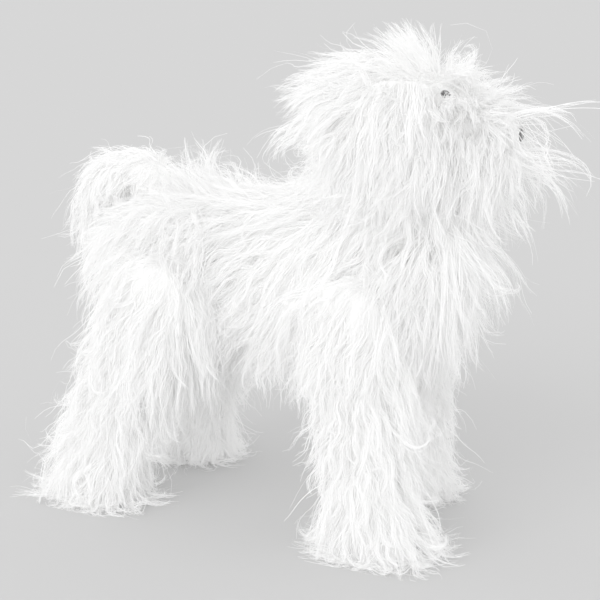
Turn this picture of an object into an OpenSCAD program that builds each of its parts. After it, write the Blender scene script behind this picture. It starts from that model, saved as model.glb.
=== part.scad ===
// Long-haired plush dog, standing, about 0.42 m long and 0.37 m tall.
// +X is where the dog's body faces, +Y is the dog's left, +Z is up.
// The soles rest on z = 0 and the origin is under the middle of the dog.
// Cut-and-sewn fur covers over stuffing, with disc joints at the neck, shoulders and hips.

/* [Stance] */
// Angle the head is turned to the dog's left, degrees
head_turn = 27; // [0:1:35]
// Forward lean of the neck joint, degrees
neck_tilt = 20; // [10:1:25]
// How far the near hind foot is set back, mm
stride = 40; // [0:1:44]
// How far the far hind foot is set back, mm
far_stride = 18; // [0:1:24]
// How far the far fore foot is set back, mm
front_stride = 28; // [0:1:32]

/* [Fur] */
// Depth of the pile as drawn, percent of full loft
pile_loft = 100; // [70:5:105]
// Half width of the trunk between the legs, mm
trunk_half = 39.6; // [38:0.1:39.8]
// Inner face of the legs' pile from the middle plane, mm
leg_inner = 40.5; // [40.2:0.1:41.5]

/* [Joints] */
// Radius of the fibre discs in the legs, mm
disc_r = 13; // [10:0.5:14]
// Radius of the fibre discs at the neck, mm
neck_disc_r = 16; // [12:0.5:18]
// Thickness of the fibre discs, mm
disc_t = 2.5; // [2:0.1:3]
// Radius of the joint bolts, mm
bolt_r = 2.5; // [2:0.1:3]
// Radius of the clearance holes for the bolts, mm
hole_r = 2.9; // [2.6:0.1:3.4]

/* [Face] */
// Radius of the eye dome, mm
eye_r = 5.2; // [4:0.1:6.5]
// Half width of the nose, mm
nose_half = 8.8; // [7:0.1:9.2]
// Length of each ear flap, mm
ear_long = 62; // [50:1:64]

/* [Hidden] */

fur_colour = [0.95, 0.94, 0.91];
lining_colour = [0.93, 0.88, 0.84];
fill_colour = [0.97, 0.97, 0.97];
board_colour = [0.70, 0.58, 0.42];
disc_colour = [0.55, 0.38, 0.24];
steel_colour = [0.72, 0.73, 0.75];
black_colour = [0.04, 0.04, 0.05];

neck_at = [96, 0, 268];
neck_way = [sin(neck_tilt), 0, cos(neck_tilt)];
shoulder_at = [72, 182];
hip_at = [-104, 178];
loft = pile_loft / 100;
seam = 0.5;
trunk_n = 2.6;
leg_n = 2.8;

// ---------- smooth skins through rings ----------
// A ring is [x, y, z, half width along Y, half height, tilt of its plane].
function dot(a, b) = a[0] * b[0] + a[1] * b[1] + a[2] * b[2];
function bend(a, b, c, d, t) =
  0.5 * (2 * b + (c - a) * t + (2 * a - 5 * b + 4 * c - d) * t * t
  + (3 * b - a - 3 * c + d) * t * t * t);
function refine(r, k) = concat(
  [for (i = [0:len(r) - 2]) for (j = [0:k - 1])
    bend(r[max(i - 1, 0)], r[i], r[i + 1], r[min(i + 2, len(r) - 1)], j / k)],
  [r[len(r) - 1]]);
function puff(v, n) = sign(v) * pow(abs(v), 2 / n);
function spot(r, a, n) = [
  r[0] - sin(r[5]) * r[4] * puff(sin(a), n),
  r[1] + r[3] * puff(cos(a), n),
  r[2] + cos(r[5]) * r[4] * puff(sin(a), n)];
// Points past a flat face are moved back onto it: each face is [unit normal, distance].
function press(p, f) = p - max(0, dot(p, f[0]) - f[1]) * f[0];
function pressed(p, faces, i = 0) =
  i >= len(faces) ? p : pressed(press(p, faces[i]), faces, i + 1);
function ring(r, a0, a1, s, n, faces) =
  [for (j = [0:s]) pressed(spot(r, a0 + (a1 - a0) * j / s, n), faces)];
function shrink(r, g) = [for (q = r) [q[0], q[1], q[2], max(q[3] - g, 0.9), max(q[4] - g, 0.9), q[5]]];
// Pile rings drawn in towards the cloth rings when the loft is under 100 percent.
function lofted(cloth, pile) =
  [for (i = [0:len(cloth) - 1]) cloth[i] + (pile[i] - cloth[i]) * loft];

// One sewn panel: cloth side rings inside, pile side rings outside, from angle a0 to a1.
module panel(cloth, pile, a0, a1, s, n, cloth_faces, pile_faces, k = 2) {
  ri = refine(cloth, k);
  ro = refine(lofted(cloth, pile), k);
  m = len(ri);
  w = s + 1;
  a = a0 + seam;
  b = a1 - seam;
  inside = [for (i = [0:m - 1]) each ring(ri[i], a, b, s, n, cloth_faces)];
  outside = [for (i = [0:m - 1]) each ring(ro[i], a, b, s, n, pile_faces)];
  h = m * w;
  faces = concat(
    [for (i = [0:m - 2]) for (j = [0:s - 1]) each [
      [h + i * w + j, h + (i + 1) * w + j, h + (i + 1) * w + j + 1],
      [h + i * w + j, h + (i + 1) * w + j + 1, h + i * w + j + 1],
      [i * w + j, (i + 1) * w + j + 1, (i + 1) * w + j],
      [i * w + j, i * w + j + 1, (i + 1) * w + j + 1]]],
    [for (j = [0:s - 1]) each [
      [j, h + j, h + j + 1],
      [j, h + j + 1, j + 1],
      [(m - 1) * w + j, h + (m - 1) * w + j + 1, h + (m - 1) * w + j],
      [(m - 1) * w + j, (m - 1) * w + j + 1, h + (m - 1) * w + j + 1]]],
    [for (i = [0:m - 2]) each [
      [i * w, (i + 1) * w, h + (i + 1) * w],
      [i * w, h + (i + 1) * w, h + i * w],
      [i * w + s, h + (i + 1) * w + s, (i + 1) * w + s],
      [i * w + s, h + i * w + s, h + (i + 1) * w + s]]]);
  polyhedron(points = concat(inside, outside), faces = faces);
}

// A closed filled shape through rings.
module filled(rings, s, n, flat_faces, k = 2) {
  r = refine(rings, k);
  m = len(r);
  body = [for (i = [0:m - 1]) each
    [for (j = [0:s - 1]) pressed(spot(r[i], 360 * j / s, n), flat_faces)]];
  first = pressed([r[0][0], r[0][1], r[0][2]], flat_faces);
  last = pressed([r[m - 1][0], r[m - 1][1], r[m - 1][2]], flat_faces);
  faces = concat(
    [for (i = [0:m - 2]) for (j = [0:s - 1]) each [
      [i * s + j, (i + 1) * s + j, (i + 1) * s + (j + 1) % s],
      [i * s + j, (i + 1) * s + (j + 1) % s, i * s + (j + 1) % s]]],
    [for (j = [0:s - 1]) [m * s, j, (j + 1) % s]],
    [for (j = [0:s - 1]) [m * s + 1, (m - 1) * s + (j + 1) % s, (m - 1) * s + j]]);
  polyhedron(points = concat(body, [first, last]), faces = faces);
}

// ---------- trunk ----------
trunk_cloth = [
  [-152, 0, 186, 1.5, 1.5, 0],
  [-149, 0, 186, 14, 15, 0],
  [-140, 0, 184, 26, 28, 0],
  [-120, 0, 181, 33, 38, 0],
  [-80, 0, 183, 35, 45, 0],
  [-20, 0, 188, 35, 50, 0],
  [30, 0, 194, 35, 59, 0],
  [65, 0, 207, 35, 64, 0],
  [92, 0, 214, 34, 56, 0],
  [112, 0, 216, 28, 42, 0],
  [124, 0, 212, 17, 22, 0],
  [129, 0, 211, 1.5, 1.5, 0]
];
trunk_pile = [
  [-172, 0, 182, 2.5, 2.5, 0],
  [-167, 0, 180, 24, 27, 0],
  [-152, 0, 173, 38, 43, 0],
  [-121, 0, 174, 46, 54, 0],
  [-80, 0, 179, 48, 60, 0],
  [-20, 0, 187, 50, 74, 0],
  [30, 0, 192, 50, 86, 0],
  [65, 0, 198, 50, 92, 0],
  [100, 0, 197, 50, 86, 0],
  [132, 0, 192, 42, 68, 0],
  [154, 0, 184, 28, 44, 0],
  [164, 0, 182, 2.5, 2.5, 0]
];
function neck_face(off) = [neck_way, dot(neck_at, neck_way) + off];
trunk_cloth_faces = [neck_face(-6.4)];
trunk_pile_faces = [[[0, 1, 0], trunk_half], [[0, -1, 0], trunk_half], neck_face(-0.5)];

module trunk_panel(a0, a1, s) {
  panel(trunk_cloth, trunk_pile, a0, a1, s, trunk_n, trunk_cloth_faces, trunk_pile_faces);
}

module on_leg_axis(at, side) {
  translate([at[0], 0, at[1]])
    rotate([side > 0 ? -90 : 90, 0, 0])
      children();
}

module on_neck_axis() {
  translate(neck_at)
    rotate([0, neck_tilt, 0])
      children();
}

module leg_bolt_holes(side, r, from, to) {
  for (at = [shoulder_at, hip_at])
    on_leg_axis(at, side)
      translate([0, 0, from])
        cylinder(r = r, h = to - from, $fn = 48);
}

module neck_hole(r, from, to) {
  on_neck_axis()
    translate([0, 0, from])
      cylinder(r = r, h = to - from, $fn = 48);
}

module body_side_left() {
  color(fur_colour)
    difference() {
      trunk_panel(-50, 90, 12);
      leg_bolt_holes(1, hole_r + 0.4, 22, 46);
      neck_hole(hole_r + 0.4, -20, 4);
    }
}

module body_side_right() {
  color(fur_colour)
    difference() {
      trunk_panel(90, 230, 12);
      leg_bolt_holes(-1, hole_r + 0.4, 22, 46);
      neck_hole(hole_r + 0.4, -20, 4);
    }
}

module belly_panel() {
  color(fur_colour)
    trunk_panel(230, 310, 8);
}

module body_stuffing() {
  color(fill_colour)
    difference() {
      filled(shrink(trunk_cloth, 0.7), 28, trunk_n, [neck_face(-7.2)]);
      for (side = [-1, 1]) {
        leg_bolt_holes(side, disc_r + 0.8, 25.4, 40);
        leg_bolt_holes(side, 5.8, 17, 26);
      }
      neck_hole(neck_disc_r + 0.8, -12.8, 2);
      neck_hole(5.8, -19, -12);
    }
}

module drilled_disc(r, t, hole) {
  difference() {
    cylinder(r = r, h = t, $fn = 96);
    translate([0, 0, -1])
      cylinder(r = hole, h = t + 2, $fn = 48);
  }
}

module body_joint_discs() {
  color(disc_colour) {
    for (side = [-1, 1], at = [shoulder_at, hip_at])
      on_leg_axis(at, side)
        translate([0, 0, 26])
          drilled_disc(disc_r, disc_t, hole_r);
    on_neck_axis()
      translate([0, 0, -12])
        drilled_disc(neck_disc_r, disc_t, hole_r);
  }
}

// A pan-head bolt: shank from a to b along its axis, head beyond b.
module bolt(a, b) {
  rotate_extrude($fn = 64)
    polygon([[0, a], [bolt_r - 0.4, a], [bolt_r, a + 0.4], [bolt_r, b], [4.8, b],
      [4.8, b + 1.4], [3.6, b + 2.4], [0, b + 2.4]]);
}

module joint_bolts() {
  color(steel_colour) {
    for (side = [-1, 1], at = [shoulder_at, hip_at])
      on_leg_axis(at, side)
        bolt(20.5, 52.6);
    on_neck_axis()
      bolt(-18, 13);
  }
}

module locknut() {
  difference() {
    union() {
      cylinder(r = 4.6, h = 2.8, $fn = 6);
      translate([0, 0, 2.8])
        cylinder(r = 3.9, h = 1.2, $fn = 48);
    }
    translate([0, 0, -1])
      cylinder(r = bolt_r + 0.05, h = 6, $fn = 48);
  }
}

module joint_locknuts() {
  color(steel_colour) {
    for (side = [-1, 1], at = [shoulder_at, hip_at])
      on_leg_axis(at, side)
        translate([0, 0, 25.8])
          rotate([180, 0, 0])
            locknut();
    on_neck_axis()
      translate([0, 0, -12.2])
        rotate([180, 0, 0])
          locknut();
  }
}

module joint_washers() {
  color(steel_colour) {
    for (side = [-1, 1], at = [shoulder_at, hip_at])
      on_leg_axis(at, side)
        translate([0, 0, 51.4])
          drilled_disc(7, 1, bolt_r + 0.05);
    on_neck_axis()
      translate([0, 0, 11.8])
        drilled_disc(7.5, 1, bolt_r + 0.05);
  }
}

// ---------- head, drawn straight ahead with its own x forward ----------
module in_head() {
  translate([neck_at[0], neck_at[1], 0])
    rotate([0, 0, head_turn])
      translate([head_back, 0, 0])
        children();
}

head_back = -5;
neck_in_head = [
  neck_way[0] * cos(head_turn),
  -neck_way[0] * sin(head_turn),
  neck_way[2]
];
function collar(off) =
  [-neck_in_head, neck_in_head[0] * head_back - neck_in_head[2] * neck_at[2] - off];
head_n = 2.3;
head_cloth = [
  [-58, 0, 318, 1.5, 1.5, 0],
  [-55, 0, 318, 14, 13, 0],
  [-44, 0, 316, 27, 26, 0],
  [-22, 0, 310, 35, 37, 0],
  [2, 0, 307, 36, 40, 0],
  [20, 0, 306, 33, 39.5, 0],
  [33, 0, 304, 27, 33, 0],
  [46, 0, 302, 21, 24.5, 0],
  [60, 0, 303, 18, 19, 0],
  [70, 0, 306, 13, 13, 0],
  [74, 0, 307, 9.8, 8.9, 0]
];
head_pile = [
  [-76, 0, 320, 3, 3, 0],
  [-72, 0, 320, 22, 22, 0],
  [-58, 0, 321, 38, 37, 0],
  [-28, 0, 322, 50, 48, 0],
  [2, 0, 320, 52, 52, 0],
  [24, 0, 315, 48, 48, 0],
  [40, 0, 305, 38, 42, 0],
  [52, 0, 298, 32, 38, 0],
  [64, 0, 293, 27, 35, 0],
  [74, 0, 295, 21, 27, 0],
  [78, 0, 304, 12.2, 11.2, 0]
];
beard_pile = [
  [-76, 0, 320, 3, 3, 0],
  [-72, 0, 320, 22, 22, 0],
  [-58, 0, 321, 38, 37, 0],
  [-28, 0, 322, 50, 48, 0],
  [2, 0, 320, 52, 52, 0],
  [24, 0, 315, 48, 49, 0],
  [42, 0, 304, 39, 46, 0],
  [60, 0, 296, 36, 46, 0],
  [82, 0, 288, 32, 44, 0],
  [106, 0, 281, 26, 37, 0],
  [127, 0, 275, 13, 16, 0]
];
head_cloth_faces = [collar(6.4)];
head_pile_faces = [[[0, 1, 0], 45], [[0, -1, 0], 45], collar(0.5)];

eye_spot = [23.5, 20, 337];
eye_pan = 40;
eye_lift = 30;

module at_eye(side) {
  in_head()
    translate([eye_spot[0], side * eye_spot[1], eye_spot[2]])
      rotate([0, 0, side * eye_pan])
        rotate([0, 90 - eye_lift, 0])
          children();
}

module eye_clearance(r, from, to) {
  for (side = [-1, 1])
    at_eye(side)
      translate([0, 0, from])
        cylinder(r = r, h = to - from, $fn = 48);
}

module head_side(a0, a1) {
  color(fur_colour)
    difference() {
      in_head()
        panel(head_cloth, head_pile, a0, a1, 8, head_n, head_cloth_faces, head_pile_faces);
      eye_clearance(eye_r + 0.5, -7, 40);
    }
}

module head_side_left() {
  head_side(-40, 52);
}

module head_side_right() {
  head_side(128, 220);
}

module head_gusset() {
  color(fur_colour)
    difference() {
      in_head()
        panel(head_cloth, head_pile, 52, 128, 8, head_n, head_cloth_faces, head_pile_faces);
      eye_clearance(eye_r + 0.5, -7, 40);
    }
}

module muzzle_panel() {
  color(fur_colour)
    difference() {
      in_head()
        panel(head_cloth, beard_pile, 224, 316, 8, head_n, head_cloth_faces, head_pile_faces);
      neck_hole(hole_r + 0.4, -4, 20);
    }
}

module head_stuffing() {
  color(fill_colour)
    difference() {
      in_head()
        filled(shrink(head_cloth, 0.7), 28, head_n, [collar(7.2), [[1, 0, 0], 73]]);
      neck_hole(neck_disc_r + 0.8, 4, 11.9);
      neck_hole(8.3, 11, 16.2);
      eye_clearance(eye_r + 2.6, -15, 40);
      in_head()
        translate([62, 0, 306])
          rotate([0, 90, 0])
            cylinder(r = 7.4, h = 20, $fn = 48);
    }
}

module head_joint_disc() {
  color(disc_colour)
    on_neck_axis()
      translate([0, 0, 8.8])
        drilled_disc(neck_disc_r, disc_t, hole_r);
}

// Safety eye: a polished dome on a stem.
module safety_eye() {
  rotate_extrude($fn = 72)
    polygon(concat(
      [for (a = [0:6:90]) [eye_r * cos(a), 0.8 + eye_r * 0.72 * sin(a)]],
      [[0, -11], [1.6, -11], [2, -10.4], [2, -1], [eye_r - 0.6, -0.4], [eye_r, 0.2]]));
}

module eye_left() {
  color(black_colour)
    at_eye(1)
      safety_eye();
}

module eye_right() {
  color(black_colour)
    at_eye(-1)
      safety_eye();
}

module eye_washers() {
  color(fill_colour)
    for (side = [-1, 1])
      at_eye(side)
        translate([0, 0, -9.6])
          drilled_disc(7, 1.4, 2.05);
}

nose_rings = [
  [72.5, 0, 307, 6, 5, 0],
  [74, 0, 307, nose_half - 0.8, 7, 0],
  [77, 0, 307.5, nose_half, 7.8, 0],
  [80.4, 0, 308, nose_half - 0.4, 7.4, 0],
  [82.8, 0, 308.5, 6.2, 5.4, 0],
  [84, 0, 308.8, 2, 1.8, 0]
];

module nose() {
  color(black_colour)
    in_head() {
      filled(nose_rings, 24, 2.4, []);
      translate([64, 0, 306])
        rotate([0, 90, 0])
          cylinder(r = 2, h = 9.5, $fn = 48);
    }
}

module nose_washer() {
  color(fill_colour)
    in_head()
      translate([65.4, 0, 306])
        rotate([0, 90, 0])
          drilled_disc(6.6, 1.4, 2.05);
}

// ---------- ears: flaps that hang from a seam high on each side ----------
ear_seam = [-10, 46.2, 351];
ear_outline = [
  [-17, 0], [17, 0], [20, -12], [22.5, -26], [23, -38], [20, -50], [13, -58.5],
  [3, -62], [-7, -61.5], [-16, -56], [-21.5, -46], [-23, -34], [-21.5, -18]
];

module ear_slab(side, near, thick, trim) {
  in_head()
    translate([ear_seam[0], side * (ear_seam[1] + near), ear_seam[2]])
      rotate([90, 0, 0])
        translate([0, 0, side > 0 ? -thick : 0])
          linear_extrude(thick)
            polygon([for (p = ear_outline)
              [p[0] * (1 - trim / 23), p[1] * (ear_long / 62) * (1 - trim / 62)]]);
}

module ear_left_fur() {
  color(fur_colour)
    ear_slab(1, 2.4, 11, 0);
}

module ear_left_lining() {
  color(lining_colour)
    ear_slab(1, 0.4, 1.6, 1.5);
}

module ear_right_fur() {
  color(fur_colour)
    ear_slab(-1, 2.4, 11, 0);
}

module ear_right_lining() {
  color(lining_colour)
    ear_slab(-1, 0.4, 1.6, 1.5);
}

// ---------- legs ----------
// Rings run up from the sole: [height, x, half length, half width].
front_cloth = [
  [3.2, 97, 24, 14.5],
  [10, 98, 25, 15],
  [22, 96, 21, 14],
  [50, 91, 17.5, 12.5],
  [90, 85, 19, 12],
  [130, 78, 24, 12.5],
  [168, 73, 30, 13],
  [190, 71, 27, 12.5],
  [203, 70, 14, 8],
  [206, 70, 1.5, 1.5]
];
front_pile = [
  [1, 97, 34, 24],
  [10, 98, 38, 26],
  [27, 96, 35, 25.5],
  [54, 92, 31, 25],
  [90, 86, 32, 25],
  [130, 79, 37, 25.5],
  [168, 74, 43, 25],
  [200, 71, 38, 23],
  [216, 70, 20, 15],
  [219, 70, 2.5, 2.5]
];
rear_cloth = [
  [3.2, -112, 23, 14.5],
  [10, -112, 24, 15],
  [24, -114, 20, 14],
  [50, -114, 18, 12.5],
  [85, -110, 21, 12.5],
  [125, -101, 29, 13],
  [162, -96, 33, 13.5],
  [188, -97, 28, 12.5],
  [201, -99, 15, 8],
  [204, -99, 1.5, 1.5]
];
rear_pile = [
  [1, -115, 38, 24],
  [10, -116, 41, 25.5],
  [28, -118, 38, 25.5],
  [54, -117, 34, 25],
  [85, -113, 36, 25],
  [125, -104, 43, 25.5],
  [162, -98, 46, 25.5],
  [198, -98, 38, 23],
  [213, -99, 20, 15],
  [216, -99, 2.5, 2.5]
];
foot_y = 60;

// Stands a leg's rings up on one side, its foot set back by "back".
function stand(rows, side, out, back) = [for (q = rows)
  [q[1] - back * max(0, 1 - q[0] / hip_at[1]), side * (foot_y + out), q[0], q[3], q[2], 90]];

module leg_panel(cloth, pile, side, back, outer) {
  a0 = (outer ? -90 : 90) + (side > 0 ? 0 : 180);
  panel(stand(cloth, side, 0, back), stand(pile, side, 2, back), a0, a0 + 180, 10, leg_n,
    [], [[[0, -side, 0], -leg_inner]]);
}

module leg_inner_panel(cloth, pile, at, side, back) {
  color(fur_colour)
    difference() {
      leg_panel(cloth, pile, side, back, false);
      on_leg_axis(at, side)
        translate([0, 0, 38])
          cylinder(r = hole_r + 0.4, h = 14, $fn = 48);
    }
}

module leg_outer_panel(cloth, pile, side, back) {
  color(fur_colour)
    leg_panel(cloth, pile, side, back, true);
}

module leg_stuffing(cloth, at, side, back) {
  raised = concat([[5, cloth[0][1], cloth[0][2], cloth[0][3]]],
    [for (i = [1:len(cloth) - 1]) cloth[i]]);
  color(fill_colour)
    difference() {
      filled(shrink(stand(raised, side, 0, back), 0.7), 24, leg_n, []);
      on_leg_axis(at, side)
        translate([0, 0, 40])
          cylinder(r = disc_r + 0.8, h = 11.9, $fn = 72);
      on_leg_axis(at, side)
        translate([0, 0, 51])
          cylinder(r = 7.8, h = 5, $fn = 72);
    }
}

function oval(a, b) = [for (t = [0:10:350]) [a * puff(cos(t), leg_n), b * puff(sin(t), leg_n)]];

module foot_plate(row, side, back, low, high, trim) {
  translate([row[1] - back * (1 - row[0] / hip_at[1]), side * foot_y, low])
    linear_extrude(high - low)
      polygon(oval(row[2] - trim, row[3] - trim));
}

module leg_sole(cloth, side, back) {
  color(lining_colour)
    foot_plate(cloth[0], side, back, 0, 2.8, 0.7);
}

module leg_board(cloth, side, back) {
  color(board_colour)
    foot_plate(cloth[0], side, back, 3.0, 4.5, 1.6);
}

module leg_disc(at, side) {
  color(disc_colour)
    on_leg_axis(at, side)
      translate([0, 0, 48.6])
        drilled_disc(disc_r, disc_t, hole_r);
}

module leg_front_left_outer() { leg_outer_panel(front_cloth, front_pile, 1, front_stride); }
module leg_front_left_inner() { leg_inner_panel(front_cloth, front_pile, shoulder_at, 1, front_stride); }
module leg_front_left_stuffing() { leg_stuffing(front_cloth, shoulder_at, 1, front_stride); }
module leg_front_left_sole() { leg_sole(front_cloth, 1, front_stride); }
module leg_front_left_board() { leg_board(front_cloth, 1, front_stride); }
module leg_front_left_disc() { leg_disc(shoulder_at, 1); }

module leg_front_right_outer() { leg_outer_panel(front_cloth, front_pile, -1, 0); }
module leg_front_right_inner() { leg_inner_panel(front_cloth, front_pile, shoulder_at, -1, 0); }
module leg_front_right_stuffing() { leg_stuffing(front_cloth, shoulder_at, -1, 0); }
module leg_front_right_sole() { leg_sole(front_cloth, -1, 0); }
module leg_front_right_board() { leg_board(front_cloth, -1, 0); }
module leg_front_right_disc() { leg_disc(shoulder_at, -1); }

module leg_rear_left_outer() { leg_outer_panel(rear_cloth, rear_pile, 1, far_stride); }
module leg_rear_left_inner() { leg_inner_panel(rear_cloth, rear_pile, hip_at, 1, far_stride); }
module leg_rear_left_stuffing() { leg_stuffing(rear_cloth, hip_at, 1, far_stride); }
module leg_rear_left_sole() { leg_sole(rear_cloth, 1, far_stride); }
module leg_rear_left_board() { leg_board(rear_cloth, 1, far_stride); }
module leg_rear_left_disc() { leg_disc(hip_at, 1); }

module leg_rear_right_outer() { leg_outer_panel(rear_cloth, rear_pile, -1, stride); }
module leg_rear_right_inner() { leg_inner_panel(rear_cloth, rear_pile, hip_at, -1, stride); }
module leg_rear_right_stuffing() { leg_stuffing(rear_cloth, hip_at, -1, stride); }
module leg_rear_right_sole() { leg_sole(rear_cloth, -1, stride); }
module leg_rear_right_board() { leg_board(rear_cloth, -1, stride); }
module leg_rear_right_disc() { leg_disc(hip_at, -1); }

// ---------- tail: a stuffed tube that rises from the rump and arches back ----------
tail_cloth = [
  [-113, 0, 234.5, 1.5, 1.5, 100],
  [-113.5, 0, 236.5, 6, 6, 100],
  [-117, 0, 245, 8.5, 8.5, 112],
  [-125, 0, 253, 9, 9, 136],
  [-139, 0, 258, 9, 9, 164],
  [-156, 0, 258, 9, 9, 188],
  [-172, 0, 251, 8.5, 8.5, 214],
  [-184, 0, 239, 7, 7, 236],
  [-189, 0, 230, 1.2, 1.2, 246]
];
tail_pile = [
  [-112.5, 0, 231.6, 2.6, 2.6, 100],
  [-113, 0, 235, 8, 8, 100],
  [-117.5, 0, 246, 18, 15, 112],
  [-126, 0, 254, 23, 19, 136],
  [-140, 0, 258.5, 25, 21, 164],
  [-158, 0, 257.5, 26, 22, 188],
  [-176, 0, 249.5, 25, 21, 214],
  [-192, 0, 234, 21, 17, 238],
  [-199, 0, 221, 3, 3, 248]
];

module tail_cover() {
  color(fur_colour)
    panel(tail_cloth, tail_pile, -90, 270, 20, 2.1, [], []);
}

module tail_stuffing() {
  color(fill_colour)
    filled([for (i = [1:len(tail_cloth) - 2]) shrink([tail_cloth[i]], 0.8)[0]], 20, 2.1, []);
}

body_side_left();
body_side_right();
belly_panel();
body_stuffing();
body_joint_discs();
joint_bolts();
joint_locknuts();
joint_washers();
head_side_left();
head_side_right();
head_gusset();
muzzle_panel();
head_stuffing();
head_joint_disc();
eye_left();
eye_right();
eye_washers();
nose();
nose_washer();
ear_left_fur();
ear_left_lining();
ear_right_fur();
ear_right_lining();
leg_front_left_outer();
leg_front_left_inner();
leg_front_left_stuffing();
leg_front_left_sole();
leg_front_left_board();
leg_front_left_disc();
leg_front_right_outer();
leg_front_right_inner();
leg_front_right_stuffing();
leg_front_right_sole();
leg_front_right_board();
leg_front_right_disc();
leg_rear_left_outer();
leg_rear_left_inner();
leg_rear_left_stuffing();
leg_rear_left_sole();
leg_rear_left_board();
leg_rear_left_disc();
leg_rear_right_outer();
leg_rear_right_inner();
leg_rear_right_stuffing();
leg_rear_right_sole();
leg_rear_right_board();
leg_rear_right_disc();
tail_cover();
tail_stuffing();
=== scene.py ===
import bpy
import math
import numpy as np
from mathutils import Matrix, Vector
from mathutils.bvhtree import BVHTree


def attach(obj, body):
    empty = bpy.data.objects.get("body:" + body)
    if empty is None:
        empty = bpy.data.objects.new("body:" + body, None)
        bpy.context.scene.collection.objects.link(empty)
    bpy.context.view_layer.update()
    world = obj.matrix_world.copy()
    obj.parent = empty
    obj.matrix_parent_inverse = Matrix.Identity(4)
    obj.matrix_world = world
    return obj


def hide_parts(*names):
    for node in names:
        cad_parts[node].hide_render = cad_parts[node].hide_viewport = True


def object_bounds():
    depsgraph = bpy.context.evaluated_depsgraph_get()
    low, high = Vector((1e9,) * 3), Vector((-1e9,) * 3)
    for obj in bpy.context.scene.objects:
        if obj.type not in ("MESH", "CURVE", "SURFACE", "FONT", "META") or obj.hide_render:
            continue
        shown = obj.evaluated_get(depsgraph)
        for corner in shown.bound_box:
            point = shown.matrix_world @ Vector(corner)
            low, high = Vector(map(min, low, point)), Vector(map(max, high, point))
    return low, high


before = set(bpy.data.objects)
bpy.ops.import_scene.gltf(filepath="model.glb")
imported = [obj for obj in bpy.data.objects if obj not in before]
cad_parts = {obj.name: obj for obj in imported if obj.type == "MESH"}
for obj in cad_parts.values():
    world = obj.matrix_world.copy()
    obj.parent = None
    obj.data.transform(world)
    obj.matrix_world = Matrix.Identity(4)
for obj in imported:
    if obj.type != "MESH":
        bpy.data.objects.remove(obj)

CAD_BOX = [list(c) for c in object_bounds()]
MM = 0.001
TURN = 6.283          # once round, in radians

# ---------------------------------------------------------------- stance
HEAD_TURN = math.radians(27.0)
NECK_TILT = math.radians(20.0)
NECK_AT = np.array([96.0, 0.0, 268.0])
NECK_WAY = np.array([math.sin(NECK_TILT), 0.0, math.cos(NECK_TILT)])
HEAD_BACK = -5.0
SHOULDER = (72.0, 182.0)
HIP = (-104.0, 178.0)
STRIDE = 40.0
FAR_STRIDE = 18.0
FRONT_STRIDE = 28.0
FOOT_Y = 60.0
UNDERFUR = 4.0        # depth of the dense underfur over the knitted backing
BACKING = 0.8
LEG_TOP = 196.0       # height where the round tops of the legs begin

# Rings of each sewn skin, in mm. Trunk, head and tail: centre x, y, z, half width, half height,
# tilt. Legs: height, centre x, half length, half width.
TRUNK = [[-152, 0, 186, 1.5, 1.5, 0], [-149, 0, 186, 14, 15, 0], [-140, 0, 184, 26, 28, 0],
         [-120, 0, 181, 33, 38, 0], [-80, 0, 183, 35, 45, 0], [-20, 0, 188, 35, 50, 0],
         [30, 0, 194, 35, 59, 0], [65, 0, 207, 35, 64, 0], [92, 0, 214, 34, 56, 0],
         [112, 0, 216, 28, 42, 0], [124, 0, 212, 17, 22, 0], [129, 0, 211, 1.5, 1.5, 0]]
HEAD = [[-58, 0, 318, 1.5, 1.5, 0], [-55, 0, 318, 14, 13, 0], [-44, 0, 316, 27, 26, 0],
        [-22, 0, 310, 35, 37, 0], [2, 0, 307, 36, 40, 0], [20, 0, 306, 33, 39.5, 0],
        [33, 0, 304, 27, 33, 0], [46, 0, 302, 21, 24.5, 0], [60, 0, 303, 18, 19, 0],
        [70, 0, 306, 13, 13, 0], [74, 0, 307, 9.8, 8.9, 0]]
FRONT_LEG = [[3.2, 97, 24, 14.5], [10, 98, 25, 15], [22, 96, 21, 14], [50, 91, 17.5, 12.5],
             [90, 85, 19, 12], [130, 78, 24, 12.5], [168, 73, 30, 13], [190, 71, 27, 12.5],
             [203, 70, 14, 8], [206, 70, 1.5, 1.5]]
REAR_LEG = [[3.2, -112, 23, 14.5], [10, -112, 24, 15], [24, -114, 20, 14], [50, -114, 18, 12.5],
            [85, -110, 21, 12.5], [125, -101, 29, 13], [162, -96, 33, 13.5], [188, -97, 28, 12.5],
            [201, -99, 15, 8], [204, -99, 1.5, 1.5]]
TAIL = [[-113, 0, 234.5, 1.5, 1.5, 100], [-113.5, 0, 236.5, 6, 6, 100],
        [-117, 0, 245, 8.5, 8.5, 112], [-125, 0, 253, 9, 9, 136], [-139, 0, 258, 9, 9, 164],
        [-156, 0, 258, 9, 9, 188], [-172, 0, 251, 8.5, 8.5, 214], [-184, 0, 239, 7, 7, 236],
        [-189, 0, 230, 1.2, 1.2, 246]]
# how square a ring is: 2 is an ellipse, more is squarer
TRUNK_N, HEAD_N, LEG_N, TAIL_N = 2.6, 2.3, 2.8, 2.1


# ---------------------------------------------------------------- small maths
def unit(v):
    """Vectors at length 1."""
    v = np.asarray(v, float)
    return v / np.maximum(np.linalg.norm(v, axis=-1, keepdims=True), 1e-9)


def smooth(a, b, c, d, t):
    """Catmull-Rom point between b and c."""
    return 0.5 * (2 * b + (c - a) * t + (2 * a - 5 * b + 4 * c - d) * t * t
                  + (3 * b - a - 3 * c + d) * t ** 3)


def refine(rows, k):
    """The same rings with k steps between each two."""
    r = np.array(rows, float)
    out = []
    for i in range(len(r) - 1):
        a, b, c, d = r[max(i - 1, 0)], r[i], r[i + 1], r[min(i + 2, len(r) - 1)]
        out += [smooth(a, b, c, d, j / k) for j in range(k)]
    out.append(r[-1])
    return np.array(out)


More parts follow.
